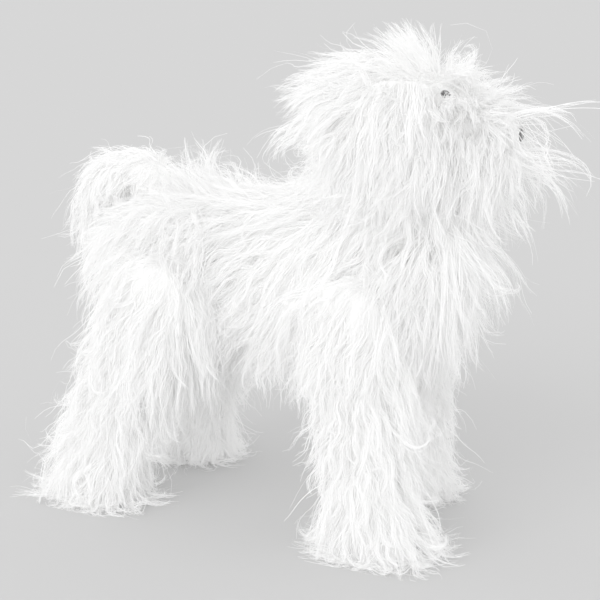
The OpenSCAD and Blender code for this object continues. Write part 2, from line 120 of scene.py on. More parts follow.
def press(p, faces):
    """Points outside a plane, given as normal and distance, moved onto it."""
    for n, d in faces:
        p = p - np.maximum(0, p @ n - d)[..., None] * n
    return p


def rings(rows, angles, n, grow, k, faces=()):
    """Points of a skin through rings, grown outwards: an array of (ring, angle, xyz)."""
    r = refine(rows, k)
    a = np.radians(angles)[None, :]
    c = np.sign(np.cos(a)) * np.abs(np.cos(a)) ** (2 / n)
    s = np.sign(np.sin(a)) * np.abs(np.sin(a)) ** (2 / n)
    g = grow if np.ndim(grow) else np.full((len(r), a.shape[1]), grow)
    tilt = np.radians(r[:, 5])[:, None]
    hu = r[:, 3][:, None] + g
    hv = r[:, 4][:, None] + g
    p = np.stack([r[:, 0][:, None] - np.sin(tilt) * hv * s,
                  r[:, 1][:, None] + hu * c,
                  r[:, 2][:, None] + np.cos(tilt) * hv * s], -1)
    # the end rings move out along the line of rings, so the ends get their depth too
    for i, j in ((0, 1), (-1, -2)):
        d = unit(r[i, :3] - r[j, :3])
        p[i] += d * g[i][:, None]
    return press(p, faces)


def to_head(p):
    """Row frame to head frame: x forward along the muzzle, y to its left."""
    c, s = math.cos(HEAD_TURN), math.sin(HEAD_TURN)
    q = p - np.array([NECK_AT[0], NECK_AT[1], 0])
    return np.stack([q[..., 0] * c + q[..., 1] * s - HEAD_BACK, -q[..., 0] * s + q[..., 1] * c,
                     q[..., 2]], -1)


def from_head(p, place=True):
    """Head frame to row frame, for a point, or for a direction if place is off."""
    c, s = math.cos(HEAD_TURN), math.sin(HEAD_TURN)
    x = p[..., 0] + (HEAD_BACK if place else 0)
    q = np.stack([x * c - p[..., 1] * s, x * s + p[..., 1] * c, p[..., 2]], -1)
    return q + np.array([NECK_AT[0], NECK_AT[1], 0]) if place else q


def stand(rows, side, back):
    """A leg's rings stood up on one side, its foot set back."""
    return [[q[1] - back * max(0.0, 1 - q[0] / HIP[1]), side * FOOT_Y, q[0], q[3], q[2], 90]
            for q in rows]


def wobble(p, scale, seed):
    """Smooth noise of position, about -1 to 1, the same for the same seed."""
    g = np.random.default_rng(seed)
    out = np.zeros(p.shape[:-1])
    for i in range(5):
        k = unit(g.normal(size=3)) * (1 + 0.6 * i) / scale
        out += np.sin(p @ k * TURN + g.uniform(0, TURN)) / (1 + 0.5 * i)
    return out / 2.3


# ---------------------------------------------------------------- meshes
def new_object(name, verts, faces):
    mesh = bpy.data.meshes.new(name)
    mesh.from_pydata([tuple(v) for v in verts], [], [tuple(f) for f in faces])
    mesh.validate()
    mesh.update()
    mesh.polygons.foreach_set("use_smooth", [True] * len(mesh.polygons))
    o = bpy.data.objects.new(name, mesh)
    bpy.context.scene.collection.objects.link(o)
    return o


def shell_object(name, outside, inside):
    """A closed panel between two grids of the same shape, in millimetres."""
    m, w = outside.shape[:2]
    verts = np.concatenate([inside.reshape(-1, 3), outside.reshape(-1, 3)]) * MM
    h = m * w
    faces = []
    for i in range(m - 1):
        for j in range(w - 1):
            a, b, c, d = i * w + j, i * w + j + 1, (i + 1) * w + j + 1, (i + 1) * w + j
            faces.append((h + a, h + b, h + c, h + d))
            faces.append((a, d, c, b))
    for j in range(w - 1):
        faces.append((j, j + 1, h + j + 1, h + j))
        e = (m - 1) * w + j
        faces.append((e, h + e, h + e + 1, e + 1))
    for i in range(m - 1):
        a, b = i * w, (i + 1) * w
        faces.append((a, h + a, h + b, b))
        a, b = a + w - 1, b + w - 1
        faces.append((a, b, h + b, h + a))
    return new_object(name, verts, faces)


def loft_object(name, grid):
    """A closed filled shape through a grid of full rings, in millimetres."""
    m, s = grid.shape[:2]
    verts = np.concatenate([grid.reshape(-1, 3), [grid[0].mean(0)], [grid[-1].mean(0)]]) * MM
    faces = []
    for i in range(m - 1):
        for j in range(s):
            k = (j + 1) % s
            faces.append((i * s + j, i * s + k, (i + 1) * s + k, (i + 1) * s + j))
    for j in range(s):
        k = (j + 1) % s
        faces.append((m * s, k, j))
        faces.append((m * s + 1, (m - 1) * s + j, (m - 1) * s + k))
    return new_object(name, verts, faces)


# ---------------------------------------------------------------- materials
def material(name):
    m = bpy.data.materials.new(name)
    m.use_nodes = True
    return m, m.node_tree, m.node_tree.nodes["Principled BSDF"]


def put(socket, value):
    socket.default_value = value


def ramp_node(tree, stops):
    r = tree.nodes.new("ShaderNodeValToRGB")
    e = r.color_ramp.elements
    while len(e) < len(stops):
        e.new(0.5)
    for i, (pos, col) in enumerate(stops):
        e[i].position = pos
        e[i].color = (*col, 1)
    return r


def fur_material(name, root, mid, tip):
    """Pile whose colour runs from root to tip and shifts a little from lock to lock."""
    m, t, b = material(name)
    uv = t.nodes.new("ShaderNodeUVMap")
    uv.uv_map = "OFBake"
    sep = t.nodes.new("ShaderNodeSeparateXYZ")
    t.links.new(uv.outputs["UV"], sep.inputs[0])
    along = ramp_node(t, [(0.0, root), (0.35, mid), (1.0, tip)])
    t.links.new(sep.outputs["Y"], along.inputs["Fac"])
    noise = t.nodes.new("ShaderNodeTexNoise")
    noise.noise_dimensions = "1D"
    put(noise.inputs["Scale"], 90.0)
    put(noise.inputs["Detail"], 2.0)
    t.links.new(sep.outputs["X"], noise.inputs["W"])
    tint = ramp_node(t, [(0.3, (0.974, 0.974, 0.972)), (0.7, (1.0, 1.0, 1.0))])
    t.links.new(noise.outputs["Fac"], tint.inputs["Fac"])
    mix = t.nodes.new("ShaderNodeMix")
    mix.data_type = "RGBA"
    mix.blend_type = "MULTIPLY"
    put(mix.inputs["Factor"], 1.0)
    t.links.new(along.outputs["Color"], mix.inputs["A"])
    t.links.new(tint.outputs["Color"], mix.inputs["B"])
    t.links.new(mix.outputs["Result"], b.inputs["Base Color"])
    put(b.inputs["Roughness"], 0.42)
    put(b.inputs["Specular IOR Level"], 0.35)
    put(b.inputs["Sheen Weight"], 0.15)
    return m


def noise_colour(t, b, scale, stops, detail=2.0, distortion=0.0):
    """Base colour from noise over the object, given as two ramp stops. Gives the noise."""
    co = t.nodes.new("ShaderNodeTexCoord")
    noise = t.nodes.new("ShaderNodeTexNoise")
    put(noise.inputs["Scale"], scale)
    put(noise.inputs["Detail"], detail)
    put(noise.inputs["Distortion"], distortion)
    t.links.new(co.outputs["Object"], noise.inputs["Vector"])
    r = ramp_node(t, stops)
    t.links.new(noise.outputs["Fac"], r.inputs["Fac"])
    t.links.new(r.outputs["Color"], b.inputs["Base Color"])
    return noise


def noise_bump(t, b, noise, strength, distance):
    bump = t.nodes.new("ShaderNodeBump")
    put(bump.inputs["Strength"], strength)
    put(bump.inputs["Distance"], distance)
    t.links.new(noise.outputs["Fac"], bump.inputs["Height"])
    t.links.new(bump.outputs["Normal"], b.inputs["Normal"])


def cloth_material(name, low, high, scale, bump):
    m, t, b = material(name)
    noise = noise_colour(t, b, scale, [(0.3, low), (0.7, high)], detail=6.0)
    noise_bump(t, b, noise, bump, 0.001)
    put(b.inputs["Roughness"], 0.9)
    put(b.inputs["Sheen Weight"], 0.3)
    return m


def wood_material(name, low, high, scale):
    m, t, b = material(name)
    noise_colour(t, b, scale, [(0.35, low), (0.65, high)], detail=8.0, distortion=1.5)
    put(b.inputs["Roughness"], 0.75)
    return m


def steel_material(name, low, high):
    m, t, b = material(name)
    noise_colour(t, b, 900.0, [(0.3, low), (0.7, high)])
    put(b.inputs["Metallic"], 1.0)
    put(b.inputs["Roughness"], 0.32)
    return m


def gloss_material(name, low, high, rough, bump, scale):
    m, t, b = material(name)
    noise = noise_colour(t, b, scale, [(0.35, low), (0.65, high)])
    if bump:
        noise_bump(t, b, noise, bump, 0.0005)
    put(b.inputs["Roughness"], rough)
    put(b.inputs["Coat Weight"], 0.6)
    put(b.inputs["Coat Roughness"], 0.05)
    return m


FUR = fur_material("white_pile", (0.971, 0.971, 0.969), (0.987, 0.987, 0.9865),
                   (0.994, 0.994, 0.994))
# underfur cover: base colour set a little darker than the pile as painted shade, standing in for
# the shade the hair above casts on it where the coat parts
UNDERFUR_PAINTED_SHADE = cloth_material("underfur", (0.937, 0.937, 0.934), (0.973, 0.973, 0.971), 420.0, 0.8)
FILL = cloth_material("fibre_fill", (0.86, 0.86, 0.85), (0.95, 0.95, 0.95), 160.0, 0.9)
LINING = cloth_material("ear_velour", (0.80, 0.76, 0.71), (0.88, 0.85, 0.81), 700.0, 0.5)
SOLE = cloth_material("sole_suede", (0.60, 0.57, 0.53), (0.70, 0.67, 0.63), 500.0, 0.5)
DISC = wood_material("hardboard", (0.20, 0.11, 0.06), (0.33, 0.20, 0.12), 220.0)
BOARD = wood_material("fibreboard", (0.38, 0.27, 0.17), (0.52, 0.39, 0.27), 160.0)
STEEL = steel_material("zinc_plate", (0.52, 0.53, 0.55), (0.70, 0.71, 0.73))
EYE = gloss_material("eye_black", (0.004, 0.004, 0.005), (0.010, 0.009, 0.009), 0.08, 0.0, 300.0)
NOSE = gloss_material("nose_black", (0.008, 0.008, 0.009), (0.022, 0.022, 0.024), 0.35, 0.5,
                      1400.0)
NYLON = gloss_material("moulded_nylon", (0.74, 0.73, 0.70), (0.82, 0.81, 0.79), 0.5, 0.2, 300.0)


def dress(o, mat):
    """One material and its slot on an object."""
    o.data.materials.clear()
    o.data.materials.append(mat)


# ---------------------------------------------------------------- covers
# planes that the trunk, the head and the feet are cut to: normal, distance
NECK_D = float(NECK_AT @ NECK_WAY)
NECK_TOP = [(NECK_WAY, NECK_D - 2.0)]
COLLAR_N = np.array([NECK_WAY[0] * math.cos(HEAD_TURN), -NECK_WAY[0] * math.sin(HEAD_TURN),
                     NECK_WAY[2]])
COLLAR = [(-COLLAR_N, COLLAR_N[0] * HEAD_BACK - COLLAR_N[2] * NECK_AT[2] - 2.0)]

# rings, side, how far the foot is set back
LEGS = {
    "front_left": (FRONT_LEG, 1, FRONT_STRIDE), "front_right": (FRONT_LEG, -1, 0.0),
    "rear_left": (REAR_LEG, 1, FAR_STRIDE), "rear_right": (REAR_LEG, -1, STRIDE),
}
FLOOR = [(np.array([0, 0, -1.0]), -0.5)]
SEAM = 0.4      # half gap between two panels, in degrees
SKINS = {}      # node: (outside grid in row frame, body)


def cover(node, rows, a0, a1, n, body, faces, head=False, cols=26, k=4):
    """One sewn panel: thin, lumpy underfur on its backing, tucked in along its seams."""
    ang = np.linspace(a0 + SEAM, a1 - SEAM, cols + 1)
    edge = np.minimum(np.arange(cols + 1), np.arange(cols + 1)[::-1]) / 3.0
    tuck = 1.0 - 0.35 * np.exp(-edge ** 2)
    flat = rings(rows, ang, n, 0.0, k, faces)
    lumps = 0.5 * wobble(flat, 26.0, 5) + 0.3 * wobble(flat, 9.0, 6)
    outside = rings(rows, ang, n, (UNDERFUR + lumps) * tuck[None, :], k, faces)
    inside = rings(rows, ang, n, BACKING, k, [(f[0], f[1] - 1.0) for f in faces])
    if head:
        outside, inside = from_head(outside), from_head(inside)
    o = shell_object("cover_" + node, outside, inside)
    dress(o, UNDERFUR_PAINTED_SHADE)
    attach(o, body)
    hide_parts(node)
    SKINS[node] = (outside, body)


def filling(node, rows, n, body, faces, head=False, k=3):
    """Fibre fill inside one skin, a little smaller than its backing."""
    flat = rings(rows, np.arange(0, 360, 12), n, 0.0, k, faces)
    grid = rings(rows, np.arange(0, 360, 12), n, -1.6 + 0.5 * wobble(flat, 14.0, 11), k, faces)
    r = refine(rows, k)
    keep = np.minimum(r[:, 3], r[:, 4]) > 5.0
    grid = grid[keep]
    if head:
        grid = from_head(grid)
    o = loft_object("fill_" + node, grid)
    dress(o, FILL)
    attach(o, body)
    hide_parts(node)


cover("body_side_left", TRUNK, -50, 90, TRUNK_N, "torso", NECK_TOP, cols=34, k=5)
cover("body_side_right", TRUNK, 90, 230, TRUNK_N, "torso", NECK_TOP, cols=34, k=5)
cover("belly_panel", TRUNK, 230, 310, TRUNK_N, "torso", NECK_TOP, cols=22, k=5)
filling("body_stuffing", TRUNK, TRUNK_N, "torso", [(NECK_WAY, NECK_D - 8.0)])
cover("head_side_left", HEAD, -40, 52, HEAD_N, "head", COLLAR, head=True)
cover("head_gusset", HEAD, 52, 128, HEAD_N, "head", COLLAR, head=True)
cover("head_side_right", HEAD, 128, 220, HEAD_N, "head", COLLAR, head=True)
cover("muzzle_panel", HEAD, 220, 320, HEAD_N, "head", COLLAR, head=True)
filling("head_stuffing", HEAD, HEAD_N, "head", [(COLLAR[0][0], COLLAR[0][1] - 6.0)], head=True)
for leg, (rows, side, back) in LEGS.items():
    placed = stand(rows, side, back)
    for part, a0 in (("outer", -90), ("inner", 90)):
        a0 += 0 if side > 0 else 180
        cover(f"leg_{leg}_{part}", placed, a0, a0 + 180, LEG_N, "leg_" + leg,
              FLOOR, cols=22)
    filling(f"leg_{leg}_stuffing", placed, LEG_N, "leg_" + leg, [])
cover("tail_cover", TAIL, -90, 270, TAIL_N, "tail", [], cols=30)
filling("tail_stuffing", TAIL, TAIL_N, "tail", [])

# ears: a fur layer outside and a velour lining, both cut to one rounded outline
EAR_SEAM = np.array([-10.0, 46.2, 351.0])
EAR_OUTLINE = np.array([[-17, 0], [17, 0], [20, -12], [22.5, -26], [23, -38], [20, -50],
                        [13, -58.5], [3, -62], [-7, -61.5], [-16, -56], [-21.5, -46], [-23, -34],
                        [-21.5, -18]], float)


def ear_layer(node, side, near, thick, trim, mat, body):
    """A soft flap: rings shrunk towards the middle of the outline, thicker there than at the rim.
    Gives the grid of its outer face."""
    loop = []
    n = len(EAR_OUTLINE)
    for i in range(n):
        a, b, c, d = (EAR_OUTLINE[(i + q) % n] for q in (-1, 0, 1, 2))
        loop += [smooth(a, b, c, d, j / 4) for j in range(4)]
    loop = np.array(loop)
    mid = np.array([0.0, -30.0])
    fronts, backs = [], []
    place = EAR_SEAM * np.array([1, side, 1])
    for q in (1.0, 0.94, 0.82, 0.64, 0.42, 0.2, 0.04):
        ring = mid + (loop - mid) * (q - trim / 30)
        h = thick * (0.35 + 0.65 * math.sqrt(max(0, 1 - q ** 4)))
        bulge = h + 0.4 * wobble(np.c_[ring, ring[:, :1]], 14.0, 8)
        fronts.append(np.c_[ring[:, 0], near + bulge, ring[:, 1]])
        backs.append(np.c_[ring[:, 0], np.full(len(ring), near), ring[:, 1]])
    turned = np.array([1, side, 1])
    grid = np.array(fronts[::-1] + backs) * turned + place
    if side < 0:
        grid = grid[:, ::-1]
    o = loft_object("flap_" + node, from_head(grid))
    dress(o, mat)
    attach(o, body)
    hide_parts(node)
    fronts = np.array(fronts) * turned + place
    return from_head(fronts if side > 0 else fronts[:, ::-1])


EARS = {}
for name, side in (("left", 1), ("right", -1)):
    flap = "ear_" + name
    EARS[name] = ear_layer(flap + "_fur", side, near=2.6, thick=3.0, trim=0.0, mat=UNDERFUR_PAINTED_SHADE,
                           body=flap)
    ear_layer(flap + "_lining", side, near=0.5, thick=1.4, trim=1.2, mat=LINING,
              body=flap)

# hard and hidden pieces keep their CAD shapes
for node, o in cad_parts.items():
    if node.endswith("_disc") or node == "body_joint_discs":
        dress(o, DISC)
    elif node in ("joint_bolts", "joint_locknuts", "joint_washers"):
        dress(o, STEEL)
    elif node.endswith("_board"):
        dress(o, BOARD)
    elif node.endswith("_sole"):
        dress(o, SOLE)
    elif node in ("eye_left", "eye_right"):
        dress(o, EYE)
    elif node == "nose":
        dress(o, NOSE)
    elif node in ("eye_washers", "nose_washer"):
        dress(o, NYLON)

# ---------------------------------------------------------------- fur
SEGS = 11             # joints along a strand
BLADE = 0.29          # half width of a strand at its root
ROOT = 1.5            # how deep a strand starts in the skin
TIGHT, LOOSE = 0.70, 0.95     # shares: below the first keep to the lock, above the second go wild
STRAY = 0.03          # share of the head's strands that may cross the eyes and the nose
EYE_BARE, NOSE_BARE = 5.6, 11.5     # no roots this near to them
BOX = np.array(CAD_BOX) * 1000
ROOM = 0.03 * (BOX[1] - BOX[0]) + 9.0     # how far the coat may pass the box of the hard parts
LIMIT_LO, LIMIT_HI = BOX[0] - ROOM, BOX[1] + ROOM
EYES = [(from_head(np.array([23.5, 20.0 * q, 338.0])),
         from_head(np.array([0.64, 0.58 * q, 0.50]), place=False)) for q in (1, -1)]
NOSE_AT = from_head(np.array([78.0, 0.0, 308.0]))
NOSE_WAY = from_head(np.array([1.0, 0.0, 0.1]), place=False)
# spheres that the hair is pushed out of, so that the eyes and the nose can be seen
CLEAR = [(at + out * way, r) for at, way in EYES for out, r in ((3.0, 7.2), (13.0, 8.0))]
CLEAR += [(NOSE_AT + out * NOSE_WAY, r) for out, r in ((3.0, 10.5), (14.0, 10.0))]
CLEAR += [(from_head(np.array([87.5, q, 309.0])), 13.0)
          for q in (-38.0, -26.0, -13.0, 13.0, 26.0, 38.0)]


def closed(grid):
    """A grid of full rings with its first column repeated at the end."""
    return np.concatenate([grid, grid[:, :1]], 1)


def build_bvh():
    """Every outer skin in one search tree."""
    verts, polys = [], []
    for grid in [g[0] for g in SKINS.values()] + [closed(g) for g in EARS.values()]:
        m, w = grid.shape[:2]
        b = len(verts)
        verts += [tuple(v) for v in grid.reshape(-1, 3)]
        for i in range(m - 1):
            for j in range(w - 1):
                a = b + i * w + j
                polys.append((a, a + 1, a + w + 1, a + w))
    return BVHTree.FromPolygons(verts, polys)


BVH = build_bvh()


def nearest(p):
    """Closest skin point and that face's normal for each point."""
    loc = np.empty_like(p)
    nor = np.empty_like(p)
    for i, q in enumerate(p):
        loc[i], nor[i] = BVH.find_nearest(Vector(q))[:2]
    return loc, nor


def sample(grid, count, rng, weight):
    """Points spread over a grid by area and weight, with their normals."""
    a, b, c, d = grid[:-1, :-1], grid[:-1, 1:], grid[1:, 1:], grid[1:, :-1]
    n = np.cross(c - a, d - b)
    area = np.linalg.norm(n, axis=-1) * weight((a + c) / 2, unit(n))
    cum = np.cumsum(area.ravel())
    pick = (np.arange(count) + rng.uniform(0, 1, count)) / count * cum[-1]
    idx = np.searchsorted(cum, pick).clip(0, cum.size - 1)
    i, j = np.unravel_index(idx, a.shape[:2])
    u, v = rng.uniform(0, 1, (2, count, 1))
    p = (a[i, j] * (1 - u) * (1 - v) + b[i, j] * (1 - u) * v
         + c[i, j] * u * v + d[i, j] * u * (1 - v))
    return p, unit(n.reshape(-1, 3)[idx])


def ease(x, a, b):
    """0 below a, 1 above b, smooth between them."""
    t = np.clip((x - a) / (b - a), 0, 1)
    return t * t * (3 - 2 * t)


def blend(a, b, t):
    return a * (1 - t)[:, None] + b * t[:, None]


def vec(x, y, z, count):
    """That many vectors from parts that are numbers or arrays."""
    return np.stack([np.broadcast_to(np.asarray(q, float), (count,)) for q in (x, y, z)], -1)


def strand_mesh(name, pts, half, lock_u, rng):
    """All strands as one mesh of fine tapered blades, with a lock and length UV."""
    m, s = pts.shape[0], pts.shape[1] - 1
    t = unit(np.gradient(pts, axis=1))
    mean = unit(t.mean(1))
    ref = unit(rng.normal(size=(m, 3)))
    ref = unit(ref - (ref * mean).sum(-1, keepdims=True) * mean)[:, None, :]
    u = unit(np.cross(t, ref)) * half[..., None]
    verts = np.empty((m, 2 * (s + 1), 3), np.float32)
    verts[:, 0::2] = pts - u
    verts[:, 1::2] = pts + u
    one = np.array([i for k in range(s) for i in (2 * k, 2 * k + 1, 2 * k + 3, 2 * k + 2)],
                   np.int64)
    loops = ((np.arange(m) * 2 * (s + 1))[:, None] + one[None, :]).ravel().astype(np.int32)
    count = m * s
    mesh = bpy.data.meshes.new(name)
    mesh.vertices.add(m * 2 * (s + 1))
    mesh.vertices.foreach_set("co", (verts * MM).ravel())
    mesh.loops.add(len(loops))
    mesh.loops.foreach_set("vertex_index", loops)
    mesh.polygons.add(count)
    mesh.polygons.foreach_set("loop_start", np.arange(count, dtype=np.int32) * 4)
    mesh.polygons.foreach_set("loop_total", np.full(count, 4, np.int32))
    mesh.polygons.foreach_set("use_smooth", np.ones(count, bool))
    mesh.update(calc_edges=True)
    uv = mesh.uv_layers.new(name="OFBake")
    across = np.tile((one % 2) * 0.004, m)
    along = np.tile((one // 2) / s, m)
    uvs = np.stack([np.repeat(lock_u, len(one)) + across, 0.02 + 0.96 * along], -1)
    uv.data.foreach_set("uv", uvs.astype(np.float32).ravel())
    o = bpy.data.objects.new(name, mesh)
    bpy.context.scene.collection.objects.link(o)
    return o


def clear_face(p, free):
    """Hair held back from the eyes and the nose; strands marked free may cross them."""
    for at, r in CLEAR:
        d = p - at
        gap = np.linalg.norm(d, axis=-1, keepdims=True)
        push = np.where((gap < r) & ~free[..., None], (r - gap), 0.0)
        p = p + d / np.maximum(gap, 0.5) * push
    return p


def grow_locks(p, n, st, rng):
    """Centre lines of the locks: out of the skin, along the lie of the coat, then down with
    their weight, held off every skin and the floor."""
    # how each lock differs: where it drifts, how it stands, how long and how wavy it is
    count = len(p)
    d = unit(st["lie"])
    tang = unit(d - (d * n).sum(-1, keepdims=True) * n + 1e-4)
    side = np.cross(n, tang)
    group = rng.integers(0, 3, count)
    drift = sum((group == g) * wobble(p, 46.0, 21 + g) for g in range(3))
    tang = unit(tang + side * (st["swirl"] * drift + 0.16 * rng.normal(size=count))[:, None])
    lift = np.clip(st["lift"] + 0.10 * rng.normal(size=count), 0.04, 0.97)
    length = st["length"] * rng.uniform(0.74, 1.10, count)
    t = unit(n * lift[:, None] + tang * (1 - lift)[:, None])
    layer = rng.uniform(0.0, 1.0, count) ** 1.2
    high = st["height"] * (0.25 + 0.85 * layer)
    droop = st["droop"] * rng.uniform(0.7, 1.3, count)
    turn = unit(rng.normal(size=(count, 3)))
    hook = st["hook"] * rng.normal(size=count)
    hook = hook * np.where(rng.uniform(size=count) < 0.18, 2.4, 0.8)
    waves = rng.uniform(1.3, 2.6, count)
    sway = st["wave"] * rng.uniform(0.3, 1.4, count)
    phase = rng.uniform(0, TURN, count)
    step = length / SEGS
    path = [p.copy()]
    cur = p.copy()
    down = np.array([0, 0, -1.0])
    for k in range(1, SEGS + 1):
        s = k / SEGS
        # turned on by its weight, its lie and its hook, and swayed by its wave
        a = phase + s * waves * TURN
        t = (t + down * (droop * 0.26 * (0.35 + s))[:, None] + tang * (0.10 * (1 - s))
             + np.cross(turn, t) * (hook * 0.8 * s * s)[:, None])
        t = unit(t)
        bend = side * (sway * np.cos(a))[:, None] + n * (0.5 * sway * np.sin(a * 0.83))[:, None]
        nxt = cur + unit(t + bend) * step[:, None]
        # lifted to its own height over the nearest skin, never through it or the floor
        loc, nor = nearest(nxt)
        gap = ((nxt - loc) * nor).sum(-1)
        want = high * min(1.0, s * 2.4)
        nxt = nxt + nor * np.where(gap < want, (want - gap) * 0.6, 0.0)[:, None]
        deep = ((nxt - loc) * nor).sum(-1) < 1.0
        nxt[deep] = loc[deep] + nor[deep] * 1.2
        low = 1.0 + 7.0 * layer * s
        nxt[:, 2] = np.maximum(nxt[:, 2], low)
        moved = unit(nxt - cur)
        t = unit(0.55 * moved + 0.45 * t)
        cur = nxt
        path.append(cur.copy())
    return np.stack(path, 1)


def soft_limit(p):
    """Points past the limits eased back, over a band, and kept off the floor."""
    band = 8.0

    def eased(over):
        return band * (1 - np.exp(-np.maximum(over, 0) / band))

    for a in range(3):
        hi = LIMIT_HI[a] - band
        p[..., a] = np.where(p[..., a] > hi, hi + eased(p[..., a] - hi), p[..., a])
        if a < 2:
            lo = LIMIT_LO[a] + band
            p[..., a] = np.where(p[..., a] < lo, lo - eased(lo - p[..., a]), p[..., a])
    p[..., 2] = np.maximum(p[..., 2], 0.7)
    return p


def fur(name, p, n, st, body, hairs, rng):
    """Locks at roots p become one mesh of strands."""
    path = grow_locks(p, n, st, rng)
    count = len(p)
    # a frame carried along each lock
    t = unit(np.gradient(path, axis=1))
    u = np.empty_like(path)
    last = unit(np.cross(t[:, 0], unit(rng.normal(size=(count, 3)))))
    for k in range(SEGS + 1):
        last = unit(last - (last * t[:, k]).sum(-1, keepdims=True) * t[:, k])
        u[:, k] = last
    v = np.cross(t, u)
    # where each strand is in its lock, and how it strays from it towards its tip
    m = count * hairs
    rho = np.sqrt(rng.uniform(0, 1, (count, hairs)))[..., None]
    phi = rng.uniform(0, TURN, (count, hairs))[..., None]
    wide = (st["wide"] * rng.uniform(0.7, 1.3, count))[:, None, None]
    pick = rng.uniform(0, 1, (count, hairs))[..., None]
    s = np.linspace(0, 1, SEGS + 1)[None, None, :]
    firm = rng.uniform(0.10, 0.42, count)[:, None, None]
    tight = firm + (1 - firm) * (1 - s) ** 1.1
    loose = 0.9 + 1.7 * s ** 1.4 * rng.uniform(0.4, 1.5, (count, hairs))[..., None]
    wild = 0.9 + 6.5 * s ** 1.7
    prof = np.where(pick < TIGHT, tight, np.where(pick < LOOSE, loose, wild))
    spread = wide * rho * prof
    spin = phi + s * rng.uniform(-1.6, 1.6, (count, hairs))[..., None]
    f1 = rng.uniform(1.3, 3.0, (count, hairs))[..., None]
    ph = rng.uniform(0, TURN, (count, hairs))[..., None]
    fine = 0.75 * np.minimum(1.0, s * 3)
    a1 = spread * np.cos(spin) + fine * np.sin(f1 * s * TURN + ph)
    a2 = spread * np.sin(spin) + fine * np.cos(f1 * s * 5.4 + ph * 1.7)
    # each strand ends at its own length
    frac = rng.uniform(0.55, 1.0, (count, hairs)) ** 0.8
    pos = s[0, 0][None, None, :] * frac[..., None] * SEGS
    k0 = np.clip(pos.astype(int), 0, SEGS - 1)
    w = (pos - k0)[..., None]
    li = np.arange(count)[:, None, None]
    pts = (path[li, k0] * (1 - w) + path[li, k0 + 1] * w
           + (u[li, k0] * (1 - w) + u[li, k0 + 1] * w) * a1[..., None]
           + (v[li, k0] * (1 - w) + v[li, k0 + 1] * w) * a2[..., None])
    pts = pts.reshape(m, SEGS + 1, 3)
    pts[:, 0] -= np.repeat(n, hairs, 0) * ROOT
    if body == "head":
        free = np.broadcast_to((rng.uniform(size=m) < STRAY)[:, None], pts.shape[:2])
        pts = clear_face(pts, free)
    pts[:, 1:, 2] = np.maximum(pts[:, 1:, 2], 0.8)
    pts = soft_limit(pts)
    base = BLADE * rng.uniform(0.7, 1.3, (m, 1))
    half = base * (1 - 0.75 * np.linspace(0, 1, SEGS + 1)[None, :] ** 1.3)
    lock_u = np.repeat(rng.uniform(0.03, 0.96, count), hairs) + rng.normal(size=m) * 0.006
    lock_u = np.clip(lock_u, 0.01, 0.98)
    o = strand_mesh(name, pts, half, lock_u, rng)
    dress(o, FUR)
    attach(o, body)


def trunk_style(p, n):
    """Back to the tail and down the sides, with a mane at the chest and a rump that hangs."""
    x, y, z = p.T
    c = len(p)
    lean = np.clip(y / 14.0, -1, 1)
    top = ease(n[:, 2], 0.35, 0.9)
    under = ease(-n[:, 2], 0.3, 0.8)
    front = ease(n[:, 0], 0.2, 0.7) * ease(x, 50, 90)
    mane = ease(x, 20, 60) * (1 - front)
    rump = ease(-n[:, 0], 0.3, 0.8)
    fall = 26 + 22 * ease(-x, -60, 150) + 26 * ease(-z, -205, -125) + 34 * mane + 30 * rump
    a = np.radians(np.minimum(fall, 84))
    lie = vec(-np.cos(a), lean * (0.10 + 0.35 * top), -np.sin(a) * (1 - 0.8 * top), c)
    lie = blend(lie, vec(0.38, np.clip(y / 40.0, -1, 1) * 0.5, -0.85, c), front)
    lie = blend(lie, vec(-0.35, lean * 0.2, -0.95, c), under * (1 - front))
    length = 68 + 2 * front - 6 * top - 16 * under * (1 - front) * ease(x, -30, 10) - 18 * rump
    lift = 0.30 + 0.22 * front + 0.14 * under + 0.06 * top - 0.14 * rump
    arch = top * ease(-x, 108, 118)
    nape = top * ease(x, 30, 70)
    height = 11.0 + 4 * top + 7 * front - 7 * rump + 6 * arch + 6 * nape
    droop = 0.42 + 0.12 * front + 0.3 * under - 0.14 * top
    groin = under * ease(-x, 30, 60)
    length += 14 * groin
    lift += 0.10 * groin
    bridge = np.zeros(c)
    for lx, lz in (SHOULDER, HIP):
        ahead = ease(x, lx + 8, lx + 26) * (1 - ease(x, lx + 44, lx + 66))
        ahead = ahead * ease(z, lz - 60, lz - 30)
        bridge = np.maximum(bridge, ahead * (1 - front) * (1 - under))
    height += 12 * bridge
    lift += 0.22 * bridge
    length += 10 * bridge
    return dict(lie=lie, length=length, lift=lift, height=height, droop=droop,
                hook=0.34 + 0.2 * under, wave=0.44, swirl=0.55, wide=3.8)


def cape_style(p, n):
    """Long locks above the legs that fall outwards over their tops."""
    x, y, _ = p.T
    c = len(p)
    side = np.sign(y)
    back = ease(-x, -40, 60)
    lie = vec(-0.30 + 0.15 * back, 0.9 * side, -0.60, c)
    return dict(lie=lie, length=108 - 22 * back, lift=0.44 - 0.06 * back, height=10.0, droop=0.80,
                hook=0.3, wave=0.42, swirl=0.6, wide=4.4)


def off_cape(p):
    """Trunk skin away from the bands above the legs."""
    x, _, z = p.T
    ok = np.zeros(len(p), bool)
    for lx, lz in (SHOULDER, HIP):
        ok |= (np.abs(x - lx - 6) < 48) & (z > lz + 8) & (z < lz + 62)
    return ~ok


